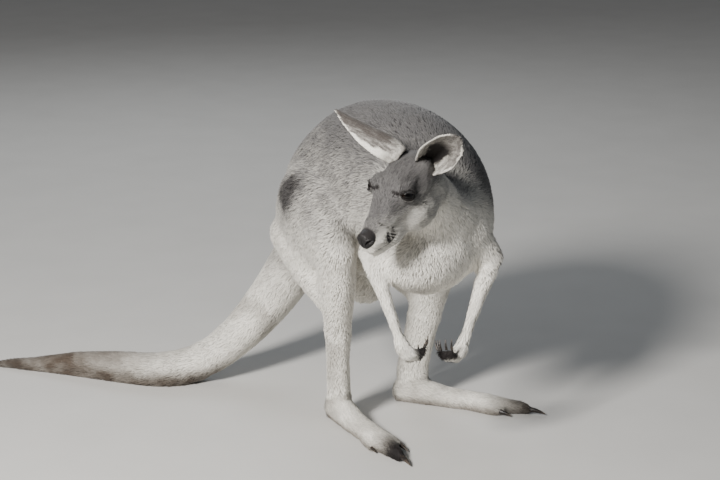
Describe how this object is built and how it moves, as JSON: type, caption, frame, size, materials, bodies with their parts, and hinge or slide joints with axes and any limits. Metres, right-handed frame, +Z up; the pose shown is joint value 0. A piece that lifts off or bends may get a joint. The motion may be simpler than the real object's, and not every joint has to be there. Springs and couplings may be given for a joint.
{
  "type": "kangaroo",
  "caption": "Life-size still model of a grey kangaroo, standing on its hind feet and tail with the chest lowered and the head turned to its right.",
  "frame": {"origin": "centre of the footprint of the whole model on the floor, at the level of the soles", "axes": "+Z up; the hips and the near end of the trunk face -Y, the tail runs back towards +Y and curves to -X, the animal's left is +X"},
  "size_m": [0.6598, 1.2776, 0.733],
  "materials": {
    "grey_coat": "short soft fur, blue-grey, on a skin",
    "pale_coat": "short soft fur, cream white, on a skin",
    "ear": "thin skin, short fur outside and sparse pale fur inside",
    "claw": "dark horn, slightly worn",
    "eye": "wet dark brown eye"
  },
  "bodies": {
    "root": {"claw_finger_1_left": "claw", "claw_finger_1_right": "claw", "claw_finger_2_left": "claw", "claw_finger_2_right": "claw", "claw_finger_3_left": "claw", "claw_finger_3_right": "claw", "claw_finger_4_left": "claw", "claw_finger_4_right": "claw", "claw_finger_5_left": "claw", "claw_finger_5_right": "claw", "claw_inner_toe_left": "claw", "claw_inner_toe_right": "claw", "claw_long_toe_left": "claw", "claw_long_toe_right": "claw", "claw_outer_toe_left": "claw", "claw_outer_toe_right": "claw", "ear_left": "ear", "ear_right": "ear", "eye_left": "eye", "eye_right": "eye", "foot_left": "pale_coat", "foot_right": "pale_coat", "forearm_left": "pale_coat", "forearm_right": "pale_coat", "hand_left": "pale_coat", "hand_right": "pale_coat", "head": "grey_coat", "neck": "grey_coat", "shank_left": "pale_coat", "shank_right": "pale_coat", "tail_bend": "pale_coat", "tail_end": "pale_coat", "tail_floor": "pale_coat", "tail_root": "pale_coat", "thigh_left": "grey_coat", "thigh_right": "grey_coat", "trunk": "grey_coat", "upper_arm_left": "pale_coat", "upper_arm_right": "pale_coat"}
  },
  "joints": []
}
